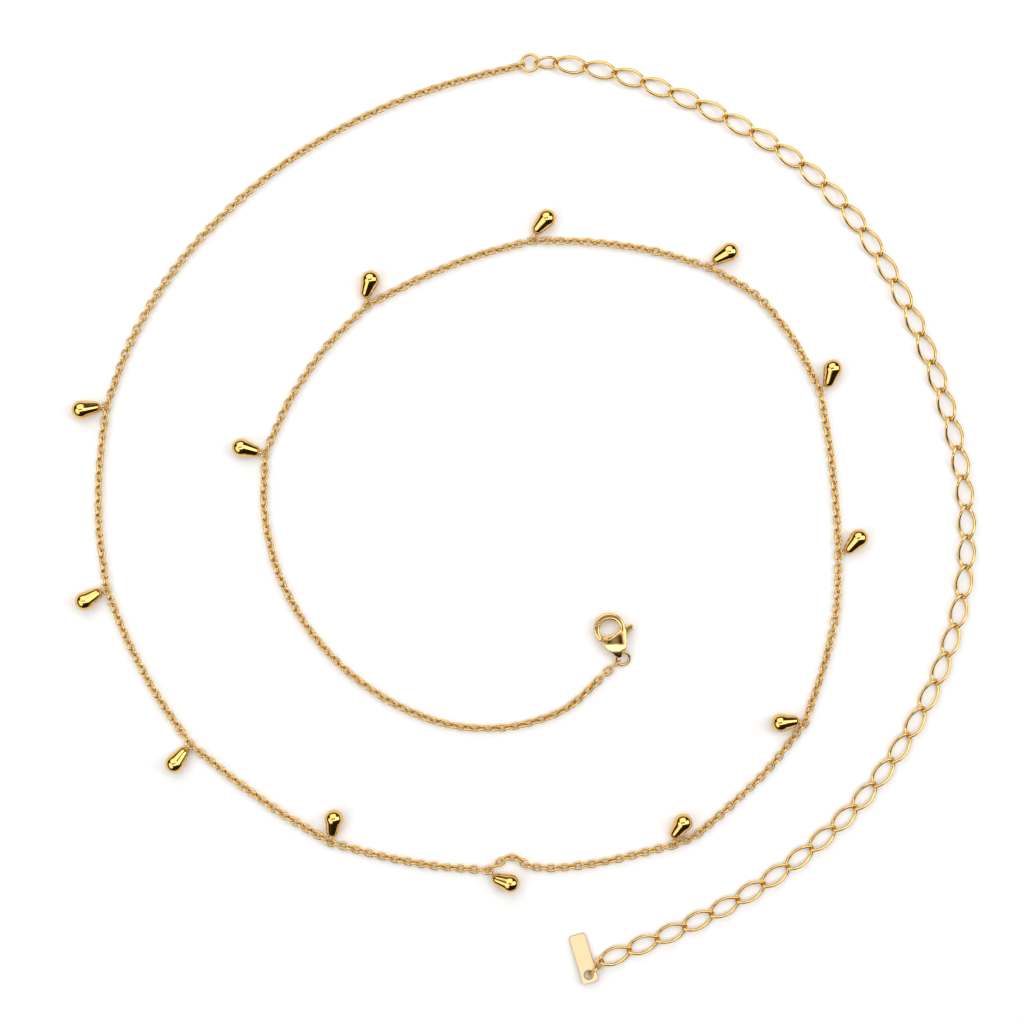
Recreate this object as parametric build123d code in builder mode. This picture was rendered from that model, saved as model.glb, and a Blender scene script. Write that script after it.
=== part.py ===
from build123d import *

import os
from math import asin, cos, pi, radians, sin, tan

# A waist chain lying on a table: a fine cable chain with 13 drops in a spiral of almost two
# turns, a lobster clasp at its inner end, and a sizing extender of twisted links with a tag.
# Millimetres, +Z up from the table, +Y towards the join ring.

# Fine cable chain, whose links all but fill a round tube
CHAIN_WIDTH = 2.0
CHAIN_WIRE = 0.45
CHAIN_Z = CHAIN_WIDTH / 2
TUBE_SETBACK = 2.0
ARC_SHARE = 0.45
GAP = 0.1

# Flat link in the chain at each drop, and the upright half link on each tube end beside it
FLAT_HALF = (CHAIN_WIDTH - CHAIN_WIRE) / 2
FLAT_REACH = 1.165
LOOP_HALF = 0.72
LOOP_GAP = 0.14
LOOP_REACH = FLAT_REACH - CHAIN_WIRE - LOOP_GAP

# Drop: a narrow and a wide ball end with a cone between, and a soldered eye at the narrow end
DROP_NARROW = 1.4
DROP_WIDE = 2.15
DROP_SPAN = 3.09
DROP_STANDOFF = 2.5
DROP_SLANT_SHIFT = 1.8
EYE_WIRE = 0.4
EYE_RADIUS = 0.85
EYE_OFFSET = 0.8
EYE_Z = 1.1

# Extender: links twisted a quarter turn from end to end, after a smaller first link
LINK_WIRE = 0.7
LINK_HALF_WIDTH = 1.88
LINK_TWIST = 90
LINK_COUNT = 43
LINK_Z = 1.16
FIRST_LINK_WIRE = 0.6
FIRST_LINK_HALF_WIDTH = 1.52
FIRST_LINK_TWIST = -54
FIRST_LINK_ROLL = 49.5
FIRST_LINK_TAIL_Z = 1.64
FIRST_LINK_HEAD_Z = 1.18

# Rings: outer diameter and wire
JOIN_RING_OD, JOIN_RING_WIRE = 4.45, 0.62
JOIN_RING_LIFT = 0.5
CLASP_RING_OD, CLASP_RING_WIRE = 3.72, 0.62
TAG_RING_OD, TAG_RING_WIRE = 3.5, 0.5
TAG_LINK_OD, TAG_LINK_WIRE = 2.75, 0.45
TAG_RING_HEADING = 46
TAG_RING_BEARING = -117
TAG_RING_REACH = 0.87
TAG_LINK_OFFSET = (-0.12, -0.45, 0.42)
TAG_LINK_HEADING = -14
TAG_LINK_TILT = 33
FLOOR_GAP = 0.02

# Tag, with its plain end on the table and its hole end up on the tag ring
TAG_LENGTH, TAG_WIDTH, TAG_THICKNESS = 11.4, 3.9, 0.8
TAG_CORNER = 0.8
TAG_EDGE = 0.15
TAG_HOLE_RADIUS = 1.0
TAG_HOLE_INSET = 1.9
TAG_HEADING = -73
TAG_RISE = 5.0
TAG_RING_FROM_HOLE = 1.6

# Route of the cable chain, one list of points for each stretch between flat links
JOIN_END = (0.65, 103.54)
STRETCHES = [
    [JOIN_END, (-14.91, 99.80), (-28.51, 95.30), (-41.41, 89.20), (-53.61, 81.80),
     (-64.81, 72.90), (-74.91, 62.90), (-83.61, 51.50), (-90.41, 39.00), (-95.11, 25.50)],
    [(-95.11, 25.50), (-96.81, 12.00), (-97.01, -1.70), (-95.11, -15.90)],
    [(-95.11, -15.90), (-90.41, -27.80), (-84.01, -39.90), (-76.01, -51.30)],
    [(-76.01, -51.30), (-66.21, -59.30), (-55.71, -66.80), (-44.21, -73.60)],
    [(-44.21, -73.60), (-32.41, -76.90), (-19.81, -79.20), (-8.21, -80.00)],
    [(-8.21, -80.00), (-5.61, -78.20), (-3.61, -76.90), (-1.41, -77.30), (1.09, -79.20),
     (6.59, -79.60), (13.29, -78.90), (20.29, -77.70), (33.79, -74.30)],
    [(33.79, -74.30), (38.69, -72.45), (45.39, -66.70), (55.49, -57.30), (63.89, -46.40)],
    [(63.89, -46.40), (68.19, -34.00), (71.29, -21.30), (71.59, -8.10)],
    [(71.59, -8.10), (70.99, 4.20), (69.59, 16.60), (67.39, 29.00)],
    [(67.39, 29.00), (61.79, 40.40), (53.69, 50.70), (41.99, 57.30)],
    [(41.99, 57.30), (29.29, 61.20), (15.89, 63.10), (1.99, 63.40)],
    [(1.99, 63.40), (-10.61, 60.10), (-23.21, 55.10), (-35.71, 48.60)],
    [(-35.71, 48.60), (-45.41, 39.10), (-53.41, 27.50), (-59.01, 14.80)],
    [(-59.01, 14.80), (-59.41, 1.00), (-56.41, -12.30), (-50.01, -24.40), (-40.91, -34.60),
     (-29.71, -42.40), (-17.01, -47.40), (-3.41, -47.90), (9.59, -43.80), (19.09, -34.60)],
]
OUTER_STRETCHES = 7

# Direction of each drop from its narrow to its wide end, in degrees from +X
DROP_HEADINGS = [191, 213, 233, 82, 344, 55, 185, 50, 75, 29, 47, 70, 165]

# Route of the extender, from the join ring to the tag
EXTENDER_ROUTE = [
    (7.09, 103.80), (18.09, 102.30), (30.29, 98.40), (41.99, 93.40), (53.29, 87.40),
    (63.89, 80.30), (73.09, 71.30), (80.49, 60.90), (86.69, 49.80), (91.89, 38.10),
    (96.09, 26.10), (99.29, 13.70), (100.89, 1.00), (100.69, -11.80), (98.39, -24.30),
    (94.19, -36.40), (88.39, -47.80), (81.39, -58.50), (73.09, -68.20), (63.49, -76.60),
    (53.19, -84.10), (41.99, -90.40), (30.39, -95.60), (17.59, -100.60),
]

# Clasp, in its own frame: origin at the middle of the eye, +X and +Y as the chain's.
# Circles are given as x, y and radius.
CLASP_CENTRE = (19.33, -24.96)
CLASP_Z = 1.45
EYE_OUTER = 3.56
EYE_INNER = 2.4
EYE_INNER_CENTRE = (0.14, -0.34)
HOOK_THICKNESS = 2.1
HOOK_FILLET = 0.36
HOOK_REGION = [(-5, 0.33), (-3.9, 0.33), (-3.2, 0.86), (-2.5, 1.2), (-1.8, 1.41),
               (-1.2, 1.48), (0, 0), (2.0, -0.8), (3.2, -2.2), (5, -2.2), (5, 5), (-5, 5)]
BODY_THICKNESS = 2.8
DOME_RADIUS = 14.0
DOME_MIDDLE = (1.6, -3.2)
PIVOT = (-0.95, -2.85)
EAR_RADIUS = 0.8
BASE_CIRCLES = [(3.0, -0.35, 0.8), (2.2, -3.2, 1.68), (3.15, -4.2, 0.65), (-0.2, -4.0, 0.7),
                (-0.95, -2.85, 0.8)]
SHOULDER_RADIUS = 7.2
SHOULDER_CENTRE = (-3.35, 4.03)
LUG_CIRCLES = [(-0.2, -4.0, 0.7), (2.1, -4.0, 0.7), (2.2, -6.0, 0.62)]
LUG_HOLE = (2.25, -5.61)
LUG_HOLE_RADIUS = 0.6
LUG_HOLE_SHIFT = 0.12
CLASP_RING_HEADING = -55

# Lever: an arm closing the eye, with a plate through the body's slot to a thumb tab
PIN_RADIUS = 0.35
PIN_CLEARANCE = 0.1
SLOT_THICKNESS = 1.0
SLOT_FRONT = [(-0.95, -2.85, 0.95), (4.8, 0.8, 0.3), (4.8, -4.1, 0.3)]
SLOT_BACK = [(-0.95, -2.85, 0.95), (-2.4, -1.7, 0.4)]
ARM_THICKNESS = 1.8
ARM_FILLET = 0.36
LEVER_GAP = 0.12
ARM_REGION = [(-5, 0.14), (-3.9, 0.14), (-3.2, 0.7), (-2.5, 1.05), (-1.8, 1.26),
              (-1.2, 1.34), (-0.9, 0), (-0.9, -2.0), (-2.6, -3.6), (-5, -2.5)]
LEVER_THICKNESS = 0.76
PLATE_BACK = [(-0.95, -2.85, 0.72), (-2.1, -2.0, 0.35)]
PLATE_FRONT = [(-0.95, -2.85, 0.72), (3.6, -1.2, 0.5)]
THUMB_TAB = [(3.65, 0.3), (4.33, 0.8), (5.0, 1.03), (5.43, 0.64), (5.47, -0.05),
             (4.8, -0.5), (4.1, -1.3), (3.88, -1.98), (3.2, -1.5)]


def compass(heading):
    """Unit vector on the table at a heading in degrees from +X."""
    return Vector(cos(radians(heading)), sin(radians(heading)), 0)


def on_table(point, height):
    """3-D vector above a plan point, or above or below another vector, at a height."""
    across, along, *_ = tuple(point)
    return Vector(across, along, height)


def corner_radii(points):
    """Radius of the tangent arc at each inner point: as large as its two runs allow."""
    radii = []
    for before, corner, after in zip(points, points[1:], points[2:]):
        arriving = corner - before
        leaving = after - corner
        half_turn = radians(arriving.get_angle(leaving)) / 2
        radii.append(ARC_SHARE * min(arriving.length, leaving.length) / tan(half_turn))
    return radii


def upright(origin, forward):
    """Vertical plane through a point, whose x runs forward and y runs up."""
    return Plane(origin=origin, x_dir=forward, z_dir=forward.cross(Vector(0, 0, 1)))


def chain_stretch(points):
    """One stretch of chain as a tube, with an upright half link on each end.

    The tube starts and stops short of the flat links, and the half links reach into them.
    """
    route = [on_table(point, CHAIN_Z) for point in points]
    first = (route[1] - route[0]).normalized()
    last = (route[-2] - route[-1]).normalized()
    route[0] = route[0] + first * TUBE_SETBACK
    route[-1] = route[-1] + last * TUBE_SETBACK
    radii = corner_radii(route)
    with BuildPart() as stretch:
        with BuildLine():
            middle_line = FilletPolyline(*route, radius=radii)
        with BuildSketch(Plane(origin=middle_line @ 0, z_dir=middle_line % 0)):
            Circle(CHAIN_WIDTH / 2)
        sweep()
        length = middle_line.length
        ratio = stretch.part.volume / (pi * CHAIN_WIDTH**2 / 4 * length)
        print(f"stretch {length:.1f} mm, volume ratio {ratio:.4f}, radii",
              [round(radius, 1) for radius in radii])
        for end, outward in ((route[0], first * -1), (route[-1], last * -1)):
            add(half_link(end, outward))
    return stretch.part


def half_link(end, outward):
    """Upright half link of chain wire, with its legs buried in a tube's end."""
    bury = 0.6
    reach = TUBE_SETBACK - LOOP_REACH
    bend_at = reach - LOOP_HALF
    with BuildPart(mode=Mode.PRIVATE) as loop:
        with BuildLine(upright(end, outward)) as path:
            top = Line((-bury, LOOP_HALF), (bend_at, LOOP_HALF))
            bend = ThreePointArc(top @ 1, (reach, 0), (bend_at, -LOOP_HALF))
            Line(bend @ 1, (-bury, -LOOP_HALF))
        with BuildSketch(Plane(origin=path.line @ 0, z_dir=path.line % 0)):
            Circle(CHAIN_WIRE / 2)
        sweep()
    return loop.part


def oval_link(plane, reach, half_height, wire):
    """Closed link with round ends and straight sides, in a plane, long along its x."""
    straight = reach - half_height
    with BuildPart() as link:
        with BuildLine(plane) as path:
            side = Line((-straight, half_height), (straight, half_height))
            end = ThreePointArc(side @ 1, (reach, 0), (straight, -half_height))
            back = Line(end @ 1, (-straight, -half_height))
            ThreePointArc(back @ 1, (-reach, 0), side @ 0)
        with BuildSketch(Plane(origin=path.line @ 0, z_dir=path.line % 0)):
            Circle(wire / 2)
        sweep()
    return link.part


def ring(centre, normal, outer_diameter, wire):
    """Round wire ring about an axis."""
    with BuildPart(Plane(origin=centre, z_dir=normal)) as hoop:
        Torus((outer_diameter - wire) / 2, wire / 2)
    return hoop.part


def twisted_link(half_length, half_width, wire, twist):
    """Oval link along +X, twisted about +X by an angle from its -X end to its +X end.

    The wire's middle line is (a cos t, b sin t cos f, b sin t sin f), with f the twist at that
    x. The two halves are alike under half a turn about +X, and meet in the end runs' middles.
    """
    corners = 5
    step = pi / corners
    reach = half_length / cos(step / 2)

    def wire_point(turn):
        roll = radians(twist / 2) * cos(turn)
        across = half_width * sin(turn)
        return Vector(reach * cos(turn), across * cos(roll), across * sin(roll))

    inner = [wire_point((index + 0.5) * step) for index in range(corners)]
    first = (wire_point(0.5 * step) + wire_point(-0.5 * step)) * 0.5
    last = (wire_point(pi - 0.5 * step) + wire_point(pi + 0.5 * step)) * 0.5
    route = [first, *inner, last]
    with BuildPart() as half:
        with BuildLine() as path:
            FilletPolyline(*route, radius=end_matched_radii(route))
        with BuildSketch(Plane(origin=path.line @ 0, z_dir=path.line % 0)):
            Circle(wire / 2)
        sweep()
    with BuildPart() as link:
        add(half.part)
        add(half.part.rotate(Axis.X, 180))
    return link.part


def end_matched_radii(route):
    """Corner radii for half a link, whose first and last runs are halves of whole runs."""
    whole = [route[0] * 2 - route[1], *route[1:-1], route[-1] * 2 - route[-2]]
    return corner_radii(whole)


def link_location(middle, way, roll):
    """Place of a link at a point, along a way, rolled about its own length."""
    across = Vector(0, 0, 1).cross(way)
    plane = Plane(origin=middle, x_dir=way, z_dir=way.cross(across))
    return plane.location * Location((0, 0, 0), (roll, 0, 0))


def drop(station, along, heading):
    """Drop beside a flat link: cone with two ball ends lying on the table, and its eye."""
    out = compass(heading)
    forward = along if along.dot(out) > 0 else along * -1
    side = (out - forward * out.dot(forward)).normalized()
    slant = out.dot(forward)
    narrow = station + side * DROP_STANDOFF + forward * (DROP_SLANT_SHIFT * slant)
    narrow.Z = DROP_NARROW
    eye_way = narrow - station
    eye_way.Z = 0
    eye_way = eye_way.normalized()
    eye = station + eye_way * EYE_OFFSET
    eye.Z = EYE_Z
    rise = asin((DROP_WIDE - DROP_NARROW) / DROP_SPAN)
    axis = out * cos(rise) + Vector(0, 0, sin(rise))
    lean = sin(rise)
    flank = cos(rise)
    bisect = radians(45) - rise / 2
    profile = Plane(origin=narrow, x_dir=axis, z_dir=out.cross(Vector(0, 0, 1)))
    with BuildPart() as body:
        with BuildSketch(profile):
            with BuildLine():
                tip = ThreePointArc(
                    (-DROP_NARROW, 0),
                    (-DROP_NARROW * cos(bisect), DROP_NARROW * sin(bisect)),
                    (-DROP_NARROW * lean, DROP_NARROW * flank))
                cone = Line(tip @ 1, (DROP_SPAN - DROP_WIDE * lean, DROP_WIDE * flank))
                wide = ThreePointArc(
                    cone @ 1,
                    (DROP_SPAN + DROP_WIDE * sin(bisect), DROP_WIDE * cos(bisect)),
                    (DROP_SPAN + DROP_WIDE, 0))
                Line(wide @ 1, tip @ 0)
            make_face()
        revolve(axis=Axis(narrow, axis))
        with Locations(Plane(origin=eye, z_dir=eye_way.cross(Vector(0, 0, 1)))):
            Torus(EYE_RADIUS, EYE_WIRE / 2)
    return body.part


def hull_of(circles):
    """Sketch of the hull round circles given as x, y and radius."""
    with BuildSketch(mode=Mode.PRIVATE) as outline:
        for across, along, radius in circles:
            with Locations((across, along)):
                Circle(radius)
        make_hull()
    return outline.sketch


def polygon(corners):
    """Sketch of a polygon."""
    with BuildSketch(mode=Mode.PRIVATE) as outline:
        with BuildLine():
            Polyline(*corners, close=True)
        make_face()
    return outline.sketch


def eye_arc(plane, region, thickness, edge):
    """Part of the clasp's round eye that lies within a polygon."""
    with BuildPart() as arc:
        with BuildSketch(plane):
            Circle(EYE_OUTER)
            with Locations(EYE_INNER_CENTRE):
                Circle(EYE_INNER, mode=Mode.SUBTRACT)
        extrude(amount=thickness / 2, both=True)
        fillet(arc.edges().filter_by(GeomType.CIRCLE), edge)
        with BuildSketch(plane.offset(-thickness)):
            add(polygon(region))
        extrude(amount=2 * thickness, mode=Mode.INTERSECT)
    return arc.part


def station_heading(index):
    """Direction of the chain through a flat link: the middle of its two runs' directions."""
    arriving = on_table(STRETCHES[index][-1], 0) - on_table(STRETCHES[index][-2], 0)
    leaving = on_table(STRETCHES[index + 1][1], 0) - on_table(STRETCHES[index + 1][0], 0)
    return (arriving.normalized() + leaving.normalized()).normalized()


def flat_link(station, along):
    """Flat link at a drop."""
    plane = Plane(origin=station, x_dir=along, z_dir=(0, 0, 1))
    return oval_link(plane, FLAT_REACH, FLAT_HALF, CHAIN_WIRE)


os.makedirs("parts", exist_ok=True)

# Cable chain and drops
stretches = [chain_stretch(points) for points in STRETCHES]
stations = [on_table(points[-1], CHAIN_Z) for points in STRETCHES]
headings = [station_heading(index) for index in range(len(STRETCHES) - 1)]

# The clasp ring lies from the lug's hole down to the table, and the upright link hangs on it
clasp_at = on_table(CLASP_CENTRE, CLASP_Z)
lug = clasp_at + on_table(LUG_HOLE, 0)
ring_way = compass(CLASP_RING_HEADING)
ring_radius = (CLASP_RING_OD - CLASP_RING_WIRE) / 2
ring_fall = asin(0.95 / (2 * ring_radius))
ring_down = ring_way * cos(ring_fall) - Vector(0, 0, sin(ring_fall))
clasp_ring_at = lug + ring_down * ring_radius
ring_normal = compass(CLASP_RING_HEADING + 90).cross(ring_down) * -1
last_flat = stations[-1]
to_ring = on_table(clasp_ring_at - last_flat, 0)
link_way = to_ring.normalized()
link_start = last_flat + link_way * LOOP_REACH
ring_wire_reach = to_ring.length - ring_radius * 0.975
link_end = last_flat + link_way * (
    ring_wire_reach + (CLASP_RING_WIRE + CHAIN_WIRE) / 2 + LOOP_GAP + FLOOR_GAP)
link_middle = (link_start + link_end) * 0.5
link_reach = (link_end - link_start).length / 2
headings.append((link_way + (last_flat - on_table(STRETCHES[-1][-2], CHAIN_Z)).normalized())
                .normalized())

flat_links = [flat_link(station, along) for station, along in zip(stations, headings)]

with BuildPart() as main_chain_outer:
    add(stretches[:OUTER_STRETCHES])
    add(flat_links[:OUTER_STRETCHES])
main_chain_outer.part.label = "main_chain_outer"
export_step(main_chain_outer.part, "parts/main_chain_outer.step")

with BuildPart() as main_chain_inner:
    add(stretches[OUTER_STRETCHES:])
    add(flat_links[OUTER_STRETCHES:])
main_chain_inner.part.label = "main_chain_inner"
export_step(main_chain_inner.part, "parts/main_chain_inner.step")

for number, (station, along, heading) in enumerate(zip(stations, headings, DROP_HEADINGS), 1):
    with BuildPart() as one_drop:
        add(drop(station, along, heading))
    one_drop.part.label = f"drop_{number:02d}"
    export_step(one_drop.part, f"parts/drop_{number:02d}.step")

# Join ring, round the last half link of the cable chain
join_radius = (JOIN_RING_OD - JOIN_RING_WIRE) / 2
arriving = (on_table(STRETCHES[0][0], 0) - on_table(STRETCHES[0][1], 0)).normalized()
loop_tip = on_table(JOIN_END, CHAIN_Z) + arriving * -LOOP_REACH
join_at = loop_tip + arriving * (join_radius - (JOIN_RING_WIRE + CHAIN_WIRE) / 2 - LOOP_GAP)
first_way = (on_table(EXTENDER_ROUTE[0], 0) - on_table(join_at, 0)).normalized()
join_slope = first_way * (2 * join_radius) + Vector(0, 0, JOIN_RING_LIFT)
join_normal = join_slope.cross(first_way.cross(Vector(0, 0, 1)))
with BuildPart() as join_ring:
    add(ring(on_table(join_at, CHAIN_Z + JOIN_RING_LIFT / 2), join_normal,
             JOIN_RING_OD, JOIN_RING_WIRE))
join_ring.part.label = "join_ring"
export_step(join_ring.part, "parts/join_ring.step")

# Extender: a small first link rolled through the join ring, then the twisted links
extender_points = [on_table(point, LINK_Z) for point in EXTENDER_ROUTE]
extender_path = FilletPolyline(*extender_points, radius=corner_radii(extender_points))
link_pitch = extender_path.length / LINK_COUNT
link_overlap = (LINK_WIRE + GAP) / 2
print(f"extender route {extender_path.length:.1f} mm, pitch {link_pitch:.3f} mm")
twisted = twisted_link(
    link_pitch / 2 + link_overlap, LINK_HALF_WIDTH, LINK_WIRE, LINK_TWIST)
links = []
for index in range(LINK_COUNT):
    tail, head = (
        extender_path.position_at(end * link_pitch, position_mode=PositionMode.LENGTH)
        for end in (index, index + 1))
    way = (head - tail).normalized()
    links.append(twisted.moved(link_location((head + tail) * 0.5, way, 0)))
first_tail = on_table(join_at, FIRST_LINK_TAIL_Z) + first_way * (
    join_radius - (JOIN_RING_WIRE + FIRST_LINK_WIRE) / 2 - LOOP_GAP)
first_head = on_table(extender_points[0], FIRST_LINK_HEAD_Z) + first_way * link_overlap
first_span = first_head - first_tail
first_twisted = twisted_link(
    first_span.length / 2, FIRST_LINK_HALF_WIDTH, FIRST_LINK_WIRE, FIRST_LINK_TWIST)
links.append(first_twisted.moved(link_location(
    (first_head + first_tail) * 0.5, first_span.normalized(), FIRST_LINK_ROLL)))
with BuildPart() as extender_chain:
    add(links)
extender_chain.part.label = "extender_chain"
export_step(extender_chain.part, "parts/extender_chain.step")

# Tag ring upright on the table beside the last link's end, and the tilted link round both
last_end = extender_points[-1] + way * link_overlap
tag_ring_way = compass(TAG_RING_HEADING)
tag_ring_radius = (TAG_RING_OD - TAG_RING_WIRE) / 2
ring_wire_at = last_end + compass(TAG_RING_BEARING) * TAG_RING_REACH
tag_ring_at = on_table(ring_wire_at - tag_ring_way * tag_ring_radius,
                       TAG_RING_OD / 2 + FLOOR_GAP)
with BuildPart() as tag_ring:
    add(ring(tag_ring_at, tag_ring_way.cross(Vector(0, 0, 1)), TAG_RING_OD, TAG_RING_WIRE))
tag_ring.part.label = "tag_ring"
export_step(tag_ring.part, "parts/tag_ring.step")

tag_link_normal = compass(TAG_LINK_HEADING) * sin(radians(TAG_LINK_TILT)) + Vector(
    0, 0, cos(radians(TAG_LINK_TILT)))
with BuildPart() as tag_link:
    add(ring(last_end + Vector(*TAG_LINK_OFFSET), tag_link_normal, TAG_LINK_OD, TAG_LINK_WIRE))
tag_link.part.label = "tag_link"
export_step(tag_link.part, "parts/tag_link.step")

# Tag
hole_at = on_table(tag_ring_at - tag_ring_way * TAG_RING_FROM_HOLE, 0)
tag_way = compass(TAG_HEADING)
tag_slope = tag_way * cos(radians(TAG_RISE)) + Vector(0, 0, sin(radians(TAG_RISE)))
hole_reach = TAG_LENGTH / 2 - TAG_HOLE_INSET
tag_at = hole_at - tag_way * (hole_reach * cos(radians(TAG_RISE)))
tag_at.Z = TAG_LENGTH / 2 * sin(radians(TAG_RISE)) + FLOOR_GAP
tag_plane = Plane(origin=tag_at, x_dir=tag_slope, z_dir=tag_slope.cross(
    tag_way.cross(Vector(0, 0, 1))) * -1)
with BuildPart() as tag:
    with BuildSketch(tag_plane):
        RectangleRounded(TAG_LENGTH, TAG_WIDTH, TAG_CORNER)
        with Locations((hole_reach, 0)):
            Circle(TAG_HOLE_RADIUS, mode=Mode.SUBTRACT)
    extrude(amount=TAG_THICKNESS)
    chamfer(tag.faces().filter_by(tag_plane).edges(), TAG_EDGE)
tag.part.label = "tag"
export_step(tag.part, "parts/tag.step")

# Clasp body: the fixed part of the eye on a domed base, with an ear for the lever's pin
eye_plane = Plane(origin=clasp_at)
dome_centre = clasp_at + on_table(DOME_MIDDLE, 0)
dome_drop = Vector(0, 0, DOME_RADIUS - BODY_THICKNESS / 2)
pivot_plane = Plane(origin=clasp_at + on_table(PIVOT, 0))
lug_hole_plane = Plane(origin=lug + ring_down * LUG_HOLE_SHIFT,
                       z_dir=compass(CLASP_RING_HEADING + 90))
hook = eye_arc(eye_plane, HOOK_REGION, HOOK_THICKNESS, HOOK_FILLET)
with BuildPart() as clasp_body:
    with BuildSketch(eye_plane):
        add(hull_of(BASE_CIRCLES))
        with Locations(SHOULDER_CENTRE):
            Circle(SHOULDER_RADIUS, mode=Mode.SUBTRACT)
        add(hull_of(LUG_CIRCLES))
        with Locations(PIVOT):
            Circle(EAR_RADIUS)
    extrude(amount=BODY_THICKNESS, both=True)
    with Locations(dome_centre + dome_drop):
        Sphere(DOME_RADIUS, mode=Mode.INTERSECT)
    with Locations(dome_centre - dome_drop):
        Sphere(DOME_RADIUS, mode=Mode.INTERSECT)
    add(hook)
    with BuildSketch(eye_plane):
        add(hull_of(SLOT_FRONT))
        add(hull_of(SLOT_BACK))
    extrude(amount=SLOT_THICKNESS / 2, both=True, mode=Mode.SUBTRACT)
    with BuildSketch(pivot_plane):
        Circle(PIN_RADIUS)
    extrude(amount=BODY_THICKNESS, both=True, mode=Mode.SUBTRACT)
    with BuildSketch(lug_hole_plane):
        Circle(LUG_HOLE_RADIUS)
    extrude(amount=BODY_THICKNESS, both=True, mode=Mode.SUBTRACT)
clasp_body.part.label = "clasp_body"
export_step(clasp_body.part, "parts/clasp_body.step")

# Pin through the ear and the lever
pin_half = BODY_THICKNESS / 2 - 0.1
with BuildPart() as clasp_pin:
    with BuildSketch(pivot_plane):
        Circle(PIN_RADIUS)
    extrude(amount=pin_half, both=True)
clasp_pin.part.label = "clasp_pin"
export_step(clasp_pin.part, "parts/clasp_pin.step")

# Lever
arm = eye_arc(eye_plane, ARM_REGION, ARM_THICKNESS, ARM_FILLET)
with BuildPart() as clasp_lever:
    add(arm)
    with BuildSketch(pivot_plane):
        Circle(EAR_RADIUS + LEVER_GAP)
    extrude(amount=ARM_THICKNESS, both=True, mode=Mode.SUBTRACT)
    with BuildSketch(eye_plane):
        add(hull_of(PLATE_BACK))
        add(hull_of(PLATE_FRONT))
        add(polygon(THUMB_TAB))
    extrude(amount=LEVER_THICKNESS / 2, both=True)
    with BuildSketch(pivot_plane):
        Circle(PIN_RADIUS + PIN_CLEARANCE)
    extrude(amount=BODY_THICKNESS, both=True, mode=Mode.SUBTRACT)
clasp_lever.part.label = "clasp_lever"
export_step(clasp_lever.part, "parts/clasp_lever.step")

# Ring through the lug, and the upright link that hangs the cable chain on it
with BuildPart() as clasp_ring:
    add(ring(clasp_ring_at, ring_normal, CLASP_RING_OD, CLASP_RING_WIRE))
clasp_ring.part.label = "clasp_ring"
export_step(clasp_ring.part, "parts/clasp_ring.step")

with BuildPart() as clasp_link:
    add(oval_link(upright(link_middle, link_way), link_reach, LOOP_HALF, CHAIN_WIRE))
clasp_link.part.label = "clasp_link"
export_step(clasp_link.part, "parts/clasp_link.step")
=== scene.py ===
"""A gold waist chain laid in an open spiral on a pale table, seen from straight above.

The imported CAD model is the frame. The drops, rings, clasp and tag are its own solids with a
finish added. The cable chain and the extender are drawn here link by link along the same
routes, and stand for the CAD nodes of those chains.
"""

from __future__ import annotations

import logging
import math
from dataclasses import dataclass, field
from enum import Enum

import bpy
import numpy as np
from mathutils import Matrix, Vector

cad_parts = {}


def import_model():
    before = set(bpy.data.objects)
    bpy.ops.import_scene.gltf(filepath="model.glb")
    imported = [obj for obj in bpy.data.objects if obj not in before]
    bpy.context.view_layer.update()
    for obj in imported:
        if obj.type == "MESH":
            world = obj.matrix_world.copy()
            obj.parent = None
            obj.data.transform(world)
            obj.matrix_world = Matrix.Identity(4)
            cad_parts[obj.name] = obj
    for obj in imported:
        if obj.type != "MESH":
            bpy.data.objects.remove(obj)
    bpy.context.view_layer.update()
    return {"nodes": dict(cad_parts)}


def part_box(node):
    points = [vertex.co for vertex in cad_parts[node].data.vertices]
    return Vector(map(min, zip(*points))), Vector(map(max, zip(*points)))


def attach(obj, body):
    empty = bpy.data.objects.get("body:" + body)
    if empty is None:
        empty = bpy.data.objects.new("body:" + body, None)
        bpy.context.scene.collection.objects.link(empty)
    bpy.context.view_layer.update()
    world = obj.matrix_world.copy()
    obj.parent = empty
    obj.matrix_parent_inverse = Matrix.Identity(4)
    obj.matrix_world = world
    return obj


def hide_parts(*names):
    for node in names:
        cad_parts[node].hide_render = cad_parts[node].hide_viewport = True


LOG = logging.getLogger("waist_chain")
MM = 0.001
SWAY_SEED = 7
# Height of the wear group's grain, in metres
GRAIN_HEIGHT = 0.00005
# Noise values between which the grain runs from its low to its high gloss
GRAIN_RANGE = (0.3, 0.7)
BEVEL_SAMPLES = 8
BRUSHED_ANISOTROPY = 0.3
# Highest value of x (1 - x) y (1 - y), at the middle of a soft box's face
FACE_PEAK = 1 / 16

Point = tuple[float, float]
Colour = tuple[float, float, float]

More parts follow.
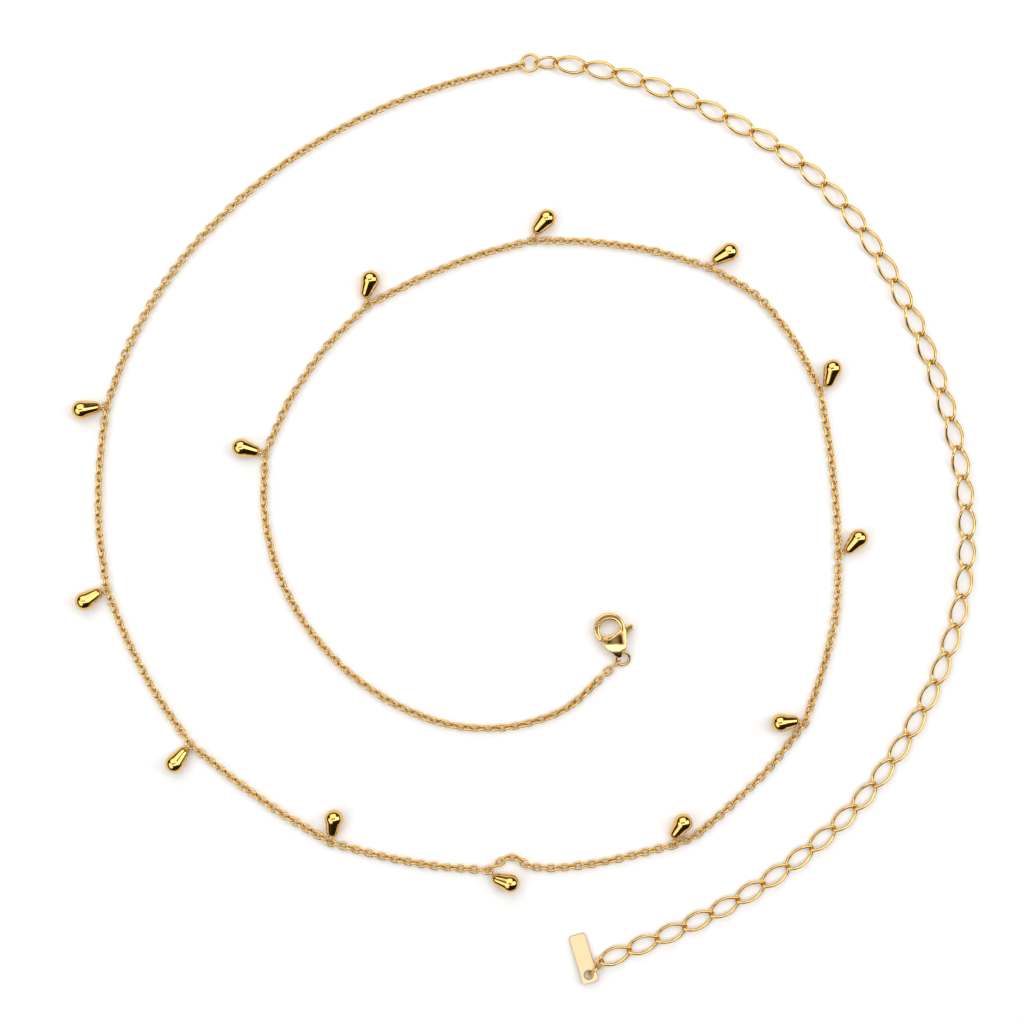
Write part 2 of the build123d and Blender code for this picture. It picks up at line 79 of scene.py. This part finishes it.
# Ends and corners of the cable chain's route, in millimetres, one row for each stretch between
# the flat links that carry drops. The first starts at the join ring.
CHAIN_ROUTES: tuple[tuple[Point, ...], ...] = (
    ((0.65, 103.54), (-14.91, 99.80), (-28.51, 95.30), (-41.41, 89.20), (-53.61, 81.80),
     (-64.81, 72.90), (-74.91, 62.90), (-83.61, 51.50), (-90.41, 39.00), (-95.11, 25.50)),
    ((-95.11, 25.50), (-96.81, 12.00), (-97.01, -1.70), (-95.11, -15.90)),
    ((-95.11, -15.90), (-90.41, -27.80), (-84.01, -39.90), (-76.01, -51.30)),
    ((-76.01, -51.30), (-66.21, -59.30), (-55.71, -66.80), (-44.21, -73.60)),
    ((-44.21, -73.60), (-32.41, -76.90), (-19.81, -79.20), (-8.21, -80.00)),
    ((-8.21, -80.00), (-5.61, -78.20), (-3.61, -76.90), (-1.41, -77.30), (1.09, -79.20),
     (6.59, -79.60), (13.29, -78.90), (20.29, -77.70), (33.79, -74.30)),
    ((33.79, -74.30), (38.69, -72.45), (45.39, -66.70), (55.49, -57.30), (63.89, -46.40)),
    ((63.89, -46.40), (68.19, -34.00), (71.29, -21.30), (71.59, -8.10)),
    ((71.59, -8.10), (70.99, 4.20), (69.59, 16.60), (67.39, 29.00)),
    ((67.39, 29.00), (61.79, 40.40), (53.69, 50.70), (41.99, 57.30)),
    ((41.99, 57.30), (29.29, 61.20), (15.89, 63.10), (1.99, 63.40)),
    ((1.99, 63.40), (-10.61, 60.10), (-23.21, 55.10), (-35.71, 48.60)),
    ((-35.71, 48.60), (-45.41, 39.10), (-53.41, 27.50), (-59.01, 14.80)),
    ((-59.01, 14.80), (-59.41, 1.00), (-56.41, -12.30), (-50.01, -24.40), (-40.91, -34.60),
     (-29.71, -42.40), (-17.01, -47.40), (-3.41, -47.90), (9.59, -43.80), (19.09, -34.60)),
)
OUTER_ROUTES = 7

# Corners of the extender's route, in millimetres, from the join ring to the tag
EXTENDER_ROUTE: tuple[Point, ...] = (
    (7.09, 103.80), (18.09, 102.30), (30.29, 98.40), (41.99, 93.40), (53.29, 87.40),
    (63.89, 80.30), (73.09, 71.30), (80.49, 60.90), (86.69, 49.80), (91.89, 38.10),
    (96.09, 26.10), (99.29, 13.70), (100.89, 1.00), (100.69, -11.80), (98.39, -24.30),
    (94.19, -36.40), (88.39, -47.80), (81.39, -58.50), (73.09, -68.20), (63.49, -76.60),
    (53.19, -84.10), (41.99, -90.40), (30.39, -95.60), (17.59, -100.60),
)


class Sheen(Enum):
    """How a metal surface was finished."""

    POLISHED = "polished"
    SATIN = "satin"


def unit(vectors: np.ndarray) -> np.ndarray:
    """Scale vectors to unit length.

    Args:
        vectors: Array whose last axis holds the components.

    Returns:
        Vectors of length one in the same directions.
    """
    return vectors / np.linalg.norm(vectors, axis=-1, keepdims=True)


@dataclass
class Route:
    """A level route of straight runs joined by tangent arcs, as the CAD solid follows it.

    Each corner's arc starts 0.45 of its shorter run away from the corner.
    """

    corners: tuple[Point, ...]
    end_inset: float = 0.0
    arc_share: float = 0.45
    arc_points: int = 9
    line: np.ndarray = field(init=False)
    along: np.ndarray = field(init=False)

    def __post_init__(self) -> None:
        """Work out the route's line and the length along it."""
        corners = np.array(self.corners)
        inset = corners.copy()
        inset[0] += unit(corners[1] - corners[0]) * self.end_inset
        inset[-1] += unit(corners[-2] - corners[-1]) * self.end_inset
        self.line = np.concatenate([corners[:1], self._arcs(inset), corners[-1:]])
        steps = np.linalg.norm(np.diff(self.line, axis=0), axis=1)
        self.along = np.concatenate([[0.0], np.cumsum(steps)])

    def _arcs(self, corners: np.ndarray) -> np.ndarray:
        """Points on every corner's arc.

        On an arc of radius r that starts at S with direction u and turns towards n, the point
        after a turn of t is S + r (u sin t + n (1 - cos t)).

        Args:
            corners: The route's ends and corners.

        Returns:
            Points of all the arcs in order.
        """
        runs = np.diff(corners, axis=0)
        lengths = np.linalg.norm(runs, axis=1)
        ways = unit(runs)
        setback = self.arc_share * np.minimum(lengths[:-1], lengths[1:])
        before, after = ways[:-1], ways[1:]
        turn = np.arccos(np.clip((before * after).sum(1), -1.0, 1.0))
        inward = unit(after - before * (before * after).sum(1, keepdims=True))
        radius = setback / np.tan(turn / 2)
        start = corners[1:-1] - before * setback[:, None]
        angle = turn[:, None] * np.linspace(0.0, 1.0, self.arc_points)
        reach = radius[:, None] * np.sin(angle)
        rise = radius[:, None] * (1 - np.cos(angle))
        points = (start[:, None] + before[:, None] * reach[..., None]
                  + inward[:, None] * rise[..., None])
        return points.reshape(-1, 2)

    @property
    def length(self) -> float:
        """Length of the whole route."""
        return float(self.along[-1])

    def at(self, distance: np.ndarray) -> np.ndarray:
        """Points at distances along the route.

        Args:
            distance: Distances from the start.

        Returns:
            Array of x and y.
        """
        return np.stack([np.interp(distance, self.along, self.line[:, axis])
                         for axis in (0, 1)], axis=-1)


@dataclass
class Links:
    """Where a row of links lies: middles, directions and rolls about their own length."""

    middles: np.ndarray
    ways: np.ndarray
    rolls: np.ndarray

    def place(self, template: np.ndarray) -> np.ndarray:
        """Put a copy of a link's surface at each place.

        A link's own x runs along its way, and its y and z are turned about it by the roll.

        Args:
            template: Grid of surface points of one link, rows round the loop.

        Returns:
            Surface grids of all the links.
        """
        across = unit(np.cross(np.array([0.0, 0.0, 1.0]), self.ways))
        above = np.cross(self.ways, across)
        cos, sin = np.cos(self.rolls)[:, None], np.sin(self.rolls)[:, None]
        axes = np.stack([self.ways, across * cos + above * sin, above * cos - across * sin],
                        axis=1)
        return np.einsum("ijk,nkl->nijl", template, axes) + self.middles[:, None, None]


def wire_surface(middle_line: np.ndarray, wire: float, sides: int) -> np.ndarray:
    """Surface of a round wire bent into a closed loop.

    At each point of the loop's middle line M with direction T, N is the part of M that is
    square to T and B is T x N. The surface is M + r (N cos a + B sin a).

    Args:
        middle_line: Points of the closed loop round the origin.
        wire: Diameter of the wire.
        sides: Points round the wire.

    Returns:
        Grid of points, the loop by the wire's sides.
    """
    tangent = unit(np.roll(middle_line, -1, 0) - np.roll(middle_line, 1, 0))
    outward = unit(middle_line - tangent * (middle_line * tangent).sum(1, keepdims=True))
    beside = np.cross(tangent, outward)
    angle = np.linspace(0.0, 2 * math.pi, sides, endpoint=False)[None, :, None]
    ring = outward[:, None] * np.cos(angle) + beside[:, None] * np.sin(angle)
    return middle_line[:, None] + ring * wire / 2


def oval_line(half_length: float, half_width: float, end_points: int) -> np.ndarray:
    """Middle line of an oval link: two half circles with straight sides between them.

    Args:
        half_length: Half the length of the middle line.
        half_width: Half its width, and the radius of its ends.
        end_points: Points on each half circle.

    Returns:
        Points of the closed loop in the x-y plane.
    """
    angle = np.linspace(-math.pi / 2, math.pi / 2, end_points)
    x = half_length - half_width + half_width * np.cos(angle)
    y = half_width * np.sin(angle)
    half = np.stack([x, y, np.zeros_like(x)], axis=-1)
    return np.concatenate([half, half * np.array([-1.0, -1.0, 1.0])])


def twisted_line(half_length: float, half_width: float, twist: float,
                 points: int) -> np.ndarray:
    """Middle line of an oval link twisted about its own length.

    The point at turn t is (a cos t, b sin t cos f, b sin t sin f), where f is half the twist
    times cos t.

    Args:
        half_length: Half the loop's length, a.
        half_width: Half its width, b.
        twist: Angle from one end to the other, in degrees.
        points: Points round the loop.

    Returns:
        Points of the closed loop.
    """
    turn = np.linspace(0.0, 2 * math.pi, points, endpoint=False)
    across = np.sin(turn) * half_width
    roll = math.radians(twist / 2) * np.cos(turn)
    return np.stack([half_length * np.cos(turn), across * np.cos(roll),
                     across * np.sin(roll)], axis=-1)


def loop_faces(copies: int, rows: int, sides: int) -> np.ndarray:
    """Faces of closed wire loops whose points are numbered loop by loop, facing outwards.

    Args:
        copies: How many loops.
        rows: Points round each loop.
        sides: Points round the wire.

    Returns:
        Four point numbers for each face.
    """
    row, side = np.meshgrid(np.arange(rows), np.arange(sides), indexing="ij")
    next_row, next_side = (row + 1) % rows, (side + 1) % sides
    faces = np.stack([row * sides + side, row * sides + next_side,
                      next_row * sides + next_side, next_row * sides + side], axis=-1)
    offset = np.arange(copies)[:, None, None] * rows * sides
    return (faces.reshape(1, -1, 4) + offset).reshape(-1, 4)


def add_piece(name: str, surfaces: list[np.ndarray], finish: bpy.types.Material,
              body: str, nodes: tuple[str, ...]) -> bpy.types.Object:
    """Make one piece from grids of wire surface, and hide the CAD nodes that it stands for.

    Args:
        name: Name of the piece.
        surfaces: Arrays of copies by rows by sides by xyz, in millimetres.
        finish: Material.
        body: Body that it rides on.
        nodes: CAD nodes that it replaces.

    Returns:
        The new object.
    """
    points, faces, first = [], [], 0
    for grid in surfaces:
        copies, rows, sides, _ = grid.shape
        points.append(grid.reshape(-1, 3))
        faces.append(loop_faces(copies, rows, sides) + first)
        first += copies * rows * sides
    mesh = bpy.data.meshes.new(name)
    mesh.from_pydata((np.concatenate(points) * MM).tolist(), [],
                     np.concatenate(faces).tolist())
    mesh.shade_smooth()
    mesh.materials.append(finish)
    piece = bpy.data.objects.new(name, mesh)
    bpy.context.scene.collection.objects.link(piece)
    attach(piece, body)
    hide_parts(*nodes)
    LOG.info("%s: %d faces", name, len(mesh.polygons))
    return piece


@dataclass
class NodeDesk:
    """Adds nodes to a node tree and joins them, to keep the building of materials short."""

    tree: bpy.types.NodeTree

    def node(self, kind: str, **values: object) -> bpy.types.Node:
        """Add a node.

        Args:
            kind: Node type, such as "ShaderNodeTexNoise".
            values: Attributes of the node, or values of inputs with the same name.

        Returns:
            The new node.
        """
        node = self.tree.nodes.new(kind)
        for key, value in values.items():
            if hasattr(node, key):
                setattr(node, key, value)
            else:
                node.inputs[key].default_value = value
        return node

    def join(self, source: bpy.types.NodeSocket, target: bpy.types.NodeSocket) -> None:
        """Link an output to an input."""
        self.tree.links.new(source, target)


def wear_group() -> bpy.types.NodeTree:
    """Shader group for handled metal: drifting tone, uneven gloss and fine scratches.

    Returns:
        Group with a colour, a roughness and a normal that change over the surface.
    """
    group = bpy.data.node_groups.new("plating_wear", "ShaderNodeTree")
    sockets = group.interface
    for name, kind in (("Vector", "NodeSocketVector"), ("Tone", "NodeSocketColor"),
                       ("Deep tone", "NodeSocketColor"), ("Low gloss", "NodeSocketFloat"),
                       ("High gloss", "NodeSocketFloat"), ("Tone scale", "NodeSocketFloat"),
                       ("Grain scale", "NodeSocketFloat"), ("Grain depth", "NodeSocketFloat")):
        sockets.new_socket(name, in_out="INPUT", socket_type=kind)
    for name, kind in (("Color", "NodeSocketColor"), ("Roughness", "NodeSocketFloat"),
                       ("Normal", "NodeSocketVector")):
        sockets.new_socket(name, in_out="OUTPUT", socket_type=kind)
    desk = NodeDesk(group)
    given = desk.node("NodeGroupInput").outputs
    made = desk.node("NodeGroupOutput").inputs
    drift = desk.node("ShaderNodeTexNoise", Detail=3.0, Roughness=0.55)
    desk.join(given["Vector"], drift.inputs["Vector"])
    desk.join(given["Tone scale"], drift.inputs["Scale"])
    tone = desk.node("ShaderNodeMix", data_type="RGBA")
    desk.join(drift.outputs["Fac"], tone.inputs["Factor"])
    for socket in tone.inputs:
        if socket.type == "RGBA":
            desk.join(given["Tone" if socket.name == "A" else "Deep tone"], socket)
    colour = next(out for out in tone.outputs if out.type == "RGBA")
    desk.join(colour, made["Color"])
    grain = desk.node("ShaderNodeTexNoise", Detail=5.0, Roughness=0.6)
    desk.join(given["Vector"], grain.inputs["Vector"])
    desk.join(given["Grain scale"], grain.inputs["Scale"])
    gloss = desk.node("ShaderNodeMapRange")
    desk.join(grain.outputs["Fac"], gloss.inputs["Value"])
    desk.join(given["Low gloss"], gloss.inputs["To Min"])
    desk.join(given["High gloss"], gloss.inputs["To Max"])
    gloss.inputs["From Min"].default_value, gloss.inputs["From Max"].default_value = (
        GRAIN_RANGE)
    desk.join(gloss.outputs["Result"], made["Roughness"])
    bump = desk.node("ShaderNodeBump", Distance=GRAIN_HEIGHT)
    desk.join(given["Grain depth"], bump.inputs["Strength"])
    desk.join(grain.outputs["Fac"], bump.inputs["Height"])
    desk.join(bump.outputs["Normal"], made["Normal"])
    return group


@dataclass(frozen=True)
class GoldFinish:
    """Gold plating of one sheen, as a metal with slow changes of tone and a fine grain."""

    name: str
    sheen: Sheen
    tone: Colour
    deep_tone: Colour
    gloss: tuple[float, float]
    tone_scale: float
    grain_scale: float
    grain_depth: float
    stretch: Colour = (1.0, 1.0, 1.0)
    turn: float = 0.0
    rounding: float = 0.0

    def build(self, wear: bpy.types.NodeTree) -> bpy.types.Material:
        """Make the material.

        Args:
            wear: The shared wear group.

        Returns:
            The material.
        """
        material = bpy.data.materials.new(self.name)
        material.use_nodes = True
        desk = NodeDesk(material.node_tree)
        shader = material.node_tree.nodes["Principled BSDF"]
        shader.inputs["Metallic"].default_value = 1.0
        place = desk.node("ShaderNodeTexCoord")
        mapping = desk.node("ShaderNodeMapping")
        mapping.inputs["Rotation"].default_value = (0.0, 0.0, math.radians(self.turn))
        mapping.inputs["Scale"].default_value = self.stretch
        desk.join(place.outputs["Object"], mapping.inputs["Vector"])
        worn = desk.node("ShaderNodeGroup", node_tree=wear)
        desk.join(mapping.outputs["Vector"], worn.inputs["Vector"])
        for socket, value in (("Tone", (*self.tone, 1.0)),
                              ("Deep tone", (*self.deep_tone, 1.0)),
                              ("Low gloss", self.gloss[0]), ("High gloss", self.gloss[1]),
                              ("Tone scale", self.tone_scale),
                              ("Grain scale", self.grain_scale),
                              ("Grain depth", self.grain_depth)):
            worn.inputs[socket].default_value = value
        desk.join(worn.outputs["Color"], shader.inputs["Base Color"])
        desk.join(worn.outputs["Roughness"], shader.inputs["Roughness"])
        if self.rounding:
            edges = desk.node("ShaderNodeBevel", samples=BEVEL_SAMPLES)
            edges.inputs["Radius"].default_value = self.rounding
            desk.join(edges.outputs["Normal"], shader.inputs["Normal"])
        else:
            desk.join(worn.outputs["Normal"], shader.inputs["Normal"])
        if self.sheen is Sheen.SATIN:
            shader.inputs["Anisotropic"].default_value = BRUSHED_ANISOTROPY
        return material


@dataclass
class CableChain:
    """The fine cable chain: oval links in turn flat and upright, along every stretch.

    A longer flat link sits at each drop. Between drops the links roll away from flat and
    upright together, by up to an eighth of a turn, as they do on the table.
    """

    link_half_length: float = 1.05
    link_half_width: float = 0.75
    station_half_length: float = 1.165
    wire: float = 0.5
    height: float = 1.0
    station_pitch: float = 1.70
    longest_pitch: float = 1.6
    join_tip: float = 0.575
    end_inset: float = 2.0
    still_length: float = 1.0
    settle_length: float = 4.0
    heading_reach: float = 0.5
    end_points: int = 7
    wire_sides: int = 6
    roll_sway: float = 6.0
    yaw_sway: float = 2.0
    roll_marks: tuple[Point, ...] = (
        (0, 25), (45, 28), (60, 30), (75, 8), (118, 8), (125, 30), (160, 30), (170, 45),
        (205, 45), (215, 20), (270, 15), (365, 20), (374, 45), (388, 45), (395, 10), (412, 15),
        (416, 45), (467, 45), (472, 10), (486, 20), (600, 20), (613, 45), (690, 45), (700, 35),
        (750, 35))

    def stretch_links(self, index: int, start: float,
                      rng: np.random.Generator) -> tuple[Links, Links, float]:
        """Lay out one stretch of links, with the flat link at its end.

        Args:
            index: Number of the stretch, from 0 at the join ring.
            start: Length of chain before it.
            rng: Source of the small sways.

        Returns:
            The plain links, the flat link at the end and the stretch's length.
        """
        route = Route(CHAIN_ROUTES[index], self.end_inset)
        first = self.join_tip + self.link_half_length if index == 0 else self.station_pitch
        last = route.length - self.station_pitch
        gaps = math.ceil((last - first) / self.longest_pitch)
        gaps += gaps % 2
        along = np.linspace(first, last, gaps + 1)
        upright = np.where(np.arange(gaps + 1) % 2 == 0, 90.0, 0.0)
        to_station = route.length - along
        if index > 0:
            to_station = np.minimum(to_station, along)
        settled = np.clip((to_station - self.still_length) / self.settle_length, 0.0, 1.0)
        mark, lean = np.array(self.roll_marks).T
        rolled = np.interp(start + along, mark, lean) * settled
        rolls = upright + rolled + rng.normal(0.0, self.roll_sway, along.size) * settled
        yaws = np.radians(rng.normal(0.0, self.yaw_sway, along.size) * settled)
        plain = self._lay(route, along, np.radians(rolls), yaws)
        station = self._lay(route, np.array([route.length]), np.zeros(1), np.zeros(1))
        if index + 1 < len(CHAIN_ROUTES):
            beyond = Route(CHAIN_ROUTES[index + 1], self.end_inset)
            leaving = unit(beyond.line[1] - beyond.line[0])
            station.ways[0, :2] = unit(station.ways[0, :2] + leaving)
        return plain, station, route.length

    def _lay(self, route: Route, along: np.ndarray, rolls: np.ndarray,
             yaws: np.ndarray) -> Links:
        """Put links at distances along a route, pointing along it.

        Args:
            route: The stretch's route.
            along: Distance of each link's middle.
            rolls: Roll of each link, in radians.
            yaws: Turn of each link from the route's direction, in radians.

        Returns:
            The links' places.
        """
        middle = route.at(along)
        ahead = route.at(np.minimum(along + self.heading_reach, route.length))
        way = ahead - route.at(along - self.heading_reach)
        heading = np.arctan2(way[:, 1], way[:, 0]) + yaws
        level = np.zeros_like(heading)
        ways = np.stack([np.cos(heading), np.sin(heading), level], axis=-1)
        middles = np.column_stack([middle, level + self.height])
        return Links(middles, ways, rolls)

    def build(self, finish: bpy.types.Material) -> None:
        """Make the outer and the inner part of the chain.

        Args:
            finish: Material of the links.
        """
        plain_link = wire_surface(
            oval_line(self.link_half_length, self.link_half_width, self.end_points),
            self.wire, self.wire_sides)
        station_link = wire_surface(
            oval_line(self.station_half_length, self.link_half_width, self.end_points),
            self.wire, self.wire_sides)
        rng = np.random.default_rng(SWAY_SEED)
        grids: list[np.ndarray] = []
        start = 0.0
        for index in range(len(CHAIN_ROUTES)):
            plain, station, length = self.stretch_links(index, start, rng)
            grids += [plain.place(plain_link), station.place(station_link)]
            start += length
        split = 2 * OUTER_ROUTES
        add_piece("cable_links_outer", grids[:split], finish, "chain",
                  ("main_chain_outer",))
        add_piece("cable_links_inner", grids[split:], finish, "chain",
                  ("main_chain_inner",))


@dataclass
class Extender:
    """The sizing extender: a small first link and a row of links twisted a quarter turn."""

    wire: float = 0.7
    half_width: float = 1.77
    twist: float = 90.0
    overlap: float = 0.4
    height: float = 1.16
    count: int = 43
    loop_points: int = 32
    wire_sides: int = 10
    first_wire: float = 0.6
    first_half_width: float = 1.45
    first_twist: float = -54.0
    first_roll: float = 49.5
    first_tail: Point = (1.165, 1.64)
    first_head_height: float = 1.18

    def build(self, finish: bpy.types.Material) -> None:
        """Make the extender.

        Args:
            finish: Material of the links.
        """
        route = Route(EXTENDER_ROUTE)
        marks = route.at(np.linspace(0.0, route.length, self.count + 1))
        ends = np.column_stack([marks, np.full(self.count + 1, self.height)])
        links = Links((ends[1:] + ends[:-1]) / 2, unit(np.diff(ends, axis=0)),
                      np.zeros(self.count))
        half_length = route.length / self.count / 2 + self.overlap
        link = wire_surface(twisted_line(half_length, self.half_width, self.twist,
                                         self.loop_points), self.wire, self.wire_sides)
        add_piece("extender_links", [links.place(link), self._first_link(ends[0])], finish,
                  "chain", ("extender_chain",))

    def _first_link(self, start: np.ndarray) -> np.ndarray:
        """Make the small link between the join ring and the twisted ones.

        Args:
            start: Where the row of twisted links starts.

        Returns:
            Its surface.
        """
        low, high = (np.array(corner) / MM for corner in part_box("join_ring"))
        middle = (low + high) / 2
        way = unit((start - middle) * np.array([1.0, 1.0, 0.0]))
        reach, tail_height = self.first_tail
        tail = middle + way * reach
        tail[2] = tail_height
        head = start + way * self.overlap
        head[2] = self.first_head_height
        span = head - tail
        link = wire_surface(twisted_line(float(np.linalg.norm(span)) / 2,
                                         self.first_half_width, self.first_twist,
                                         self.loop_points), self.first_wire, self.wire_sides)
        place = Links((head + tail)[None] / 2, unit(span)[None],
                      np.radians([self.first_roll]))
        return place.place(link)


@dataclass
class SolidPieces:
    """The pieces that stay as their CAD solids: drops, rings, clasp and tag."""

    satin_nodes: tuple[str, ...] = ("tag",)
    clasp_nodes: tuple[str, ...] = ("clasp_body", "clasp_lever")
    drawn_nodes: tuple[str, ...] = ("main_chain_outer", "main_chain_inner", "extender_chain")

    def dress(self, nodes: dict[str, bpy.types.Object], polished: bpy.types.Material,
              satin: bpy.types.Material, clasp: bpy.types.Material) -> None:
        """Give each solid its finish.

        Args:
            nodes: CAD nodes by name.
            polished: Material of the bright pieces.
            satin: Material of the tag.
            clasp: Material of the clasp, with rounded edges.
        """
        for name, solid in nodes.items():
            if name in self.drawn_nodes:
                continue
            finish = polished
            if name in self.satin_nodes:
                finish = satin
            elif name in self.clasp_nodes:
                finish = clasp
            for slot in solid.material_slots:
                slot.material = finish
            LOG.info("%s: finished", name)


@dataclass(frozen=True)
class SoftBox:
    """A flat lit panel that faces the middle of the table."""

    name: str
    azimuth: float
    elevation: float
    size: Point
    brightness: float
    softness: float = 0.5
    distance: float = 1.2

    def hang(self) -> None:
        """Add the panel's light, with the power that gives its face its brightness."""
        light = bpy.data.lights.new(self.name, "AREA")
        light.shape = "RECTANGLE"
        light.size, light.size_y = self.size
        light.energy = math.pi * self.size[0] * self.size[1] * self.brightness
        light.use_nodes = True
        self._fade(NodeDesk(light.node_tree))
        azimuth, elevation = math.radians(self.azimuth), math.radians(self.elevation)
        lamp = bpy.data.objects.new(self.name, light)
        lamp.location = (self.distance * math.cos(elevation) * math.cos(azimuth),
                         self.distance * math.cos(elevation) * math.sin(azimuth),
                         self.distance * math.sin(elevation))
        lamp.rotation_euler = (math.pi / 2 - elevation, 0.0, azimuth + math.pi / 2)
        bpy.context.scene.collection.objects.link(lamp)


    def _fade(self, desk: NodeDesk) -> None:
        """Fade the panel's face towards its four edges.

        The face's own coordinates x and y run from 0 to 1. The brightness rises with
        x (1 - x) y (1 - y), and is full where that passes a share of its highest value.

        Args:
            desk: The light's node tree.
        """
        place = desk.node("ShaderNodeNewGeometry")
        split = desk.node("ShaderNodeSeparateXYZ")
        desk.join(place.outputs["Parametric"], split.inputs["Vector"])
        both = desk.node("ShaderNodeMath", operation="MULTIPLY")
        for axis, factor in zip(("X", "Y"), both.inputs):
            other = desk.node("ShaderNodeMath", operation="SUBTRACT")
            other.inputs[0].default_value = 1.0
            desk.join(split.outputs[axis], other.inputs[1])
            arch = desk.node("ShaderNodeMath", operation="MULTIPLY")
            desk.join(split.outputs[axis], arch.inputs[0])
            desk.join(other.outputs[0], arch.inputs[1])
            desk.join(arch.outputs[0], factor)
        rise = desk.node("ShaderNodeMapRange")
        rise.inputs["From Max"].default_value = self.softness * FACE_PEAK
        desk.join(both.outputs[0], rise.inputs["Value"])
        glow = next(node for node in desk.tree.nodes if node.type == "EMISSION")
        desk.join(rise.outputs["Result"], glow.inputs["Strength"])


@dataclass
class Studio:
    """Pale table, soft boxes and a camera straight above, framed as the photograph is.

    The boxes leave the south and south-east dark, and a small dark patch overhead, which
    the drops and the clasp mirror as their black bands.
    """

    boxes: tuple[SoftBox, ...] = (
        SoftBox("box_north", 105.0, 50.0, (2.0, 1.5), 1.9),
        SoftBox("box_west", 207.0, 42.0, (1.5, 1.0), 1.8),
        SoftBox("box_east", 8.0, 46.0, (0.9, 1.4), 2.7),
        SoftBox("box_overhead", -90.0, 76.0, (1.2, 0.3), 3.6, 0.8),
        SoftBox("box_middle", 0.0, 90.0, (0.5, 0.4), 0.35, 0.9),
    )
    frame_width: float = 0.2335
    middle: Point = (-0.00279, 0.00155)
    lens: float = 85.0
    sensor: float = 36.0
    floor_half: float = 3.0
    floor_tone: Colour = (0.95, 0.95, 0.95)
    floor_roughness: float = 0.9
    floor_gloss: float = 0.1
    room_tone: Colour = (0.02, 0.018, 0.015)

    def build(self) -> None:
        """Make the table, the lights and the camera."""
        self._table()
        for box in self.boxes:
            box.hang()
        self._room()
        self._camera()

    def _table(self) -> None:
        """Make the pale table top."""
        half = self.floor_half
        mesh = bpy.data.meshes.new("table_top")
        mesh.from_pydata([(-half, -half, 0.0), (half, -half, 0.0), (half, half, 0.0),
                          (-half, half, 0.0)], [], [(0, 1, 2, 3)])
        material = bpy.data.materials.new("pale_table")
        material.use_nodes = True
        shader = material.node_tree.nodes["Principled BSDF"]
        shader.inputs["Base Color"].default_value = (*self.floor_tone, 1.0)
        shader.inputs["Roughness"].default_value = self.floor_roughness
        shader.inputs["Specular IOR Level"].default_value = self.floor_gloss
        mesh.materials.append(material)
        top = bpy.data.objects.new("table_top", mesh)
        bpy.context.scene.collection.objects.link(top)

    def _room(self) -> None:
        """Set the dim room round the table, and plain colour handling."""
        world = bpy.data.worlds.new("room")
        world.use_nodes = True
        world.node_tree.nodes["Background"].inputs["Color"].default_value = (
            *self.room_tone, 1.0)
        bpy.context.scene.world = world
        bpy.context.scene.view_settings.view_transform = "Standard"

    def _camera(self) -> None:
        """Hang the camera above the middle of the picture."""
        data = bpy.data.cameras.new("camera")
        data.lens, data.sensor_width = self.lens, self.sensor
        camera = bpy.data.objects.new("camera", data)
        camera.location = (*self.middle, self.frame_width / self.sensor * self.lens)
        bpy.context.scene.collection.objects.link(camera)
        bpy.context.scene.camera = camera


POLISHED_GOLD = GoldFinish("polished_gold", Sheen.POLISHED, (0.82, 0.54, 0.18),
                           (0.74, 0.46, 0.13), (0.08, 0.14), 60.0, 900.0, 0.02)
CLASP_GOLD = GoldFinish("clasp_gold", Sheen.POLISHED, (0.84, 0.57, 0.23),
                        (0.78, 0.50, 0.17), (0.07, 0.12), 60.0, 900.0, 0.02,
                        rounding=0.0004)
SATIN_GOLD = GoldFinish("satin_gold", Sheen.SATIN, (0.88, 0.70, 0.44), (0.82, 0.62, 0.36),
                        (0.30, 0.42), 90.0, 2500.0, 0.12, (1.0, 0.06, 1.0), -17.0)


def main() -> None:
    """Load the frame, make each piece and set the studio."""
    logging.basicConfig(level=logging.INFO)
    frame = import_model()
    wear = wear_group()
    polished = POLISHED_GOLD.build(wear)
    satin = SATIN_GOLD.build(wear)
    CableChain().build(polished)
    Extender().build(polished)
    SolidPieces().dress(frame["nodes"], polished, satin, CLASP_GOLD.build(wear))
    Studio().build()


if __name__ == "__main__":
    main()
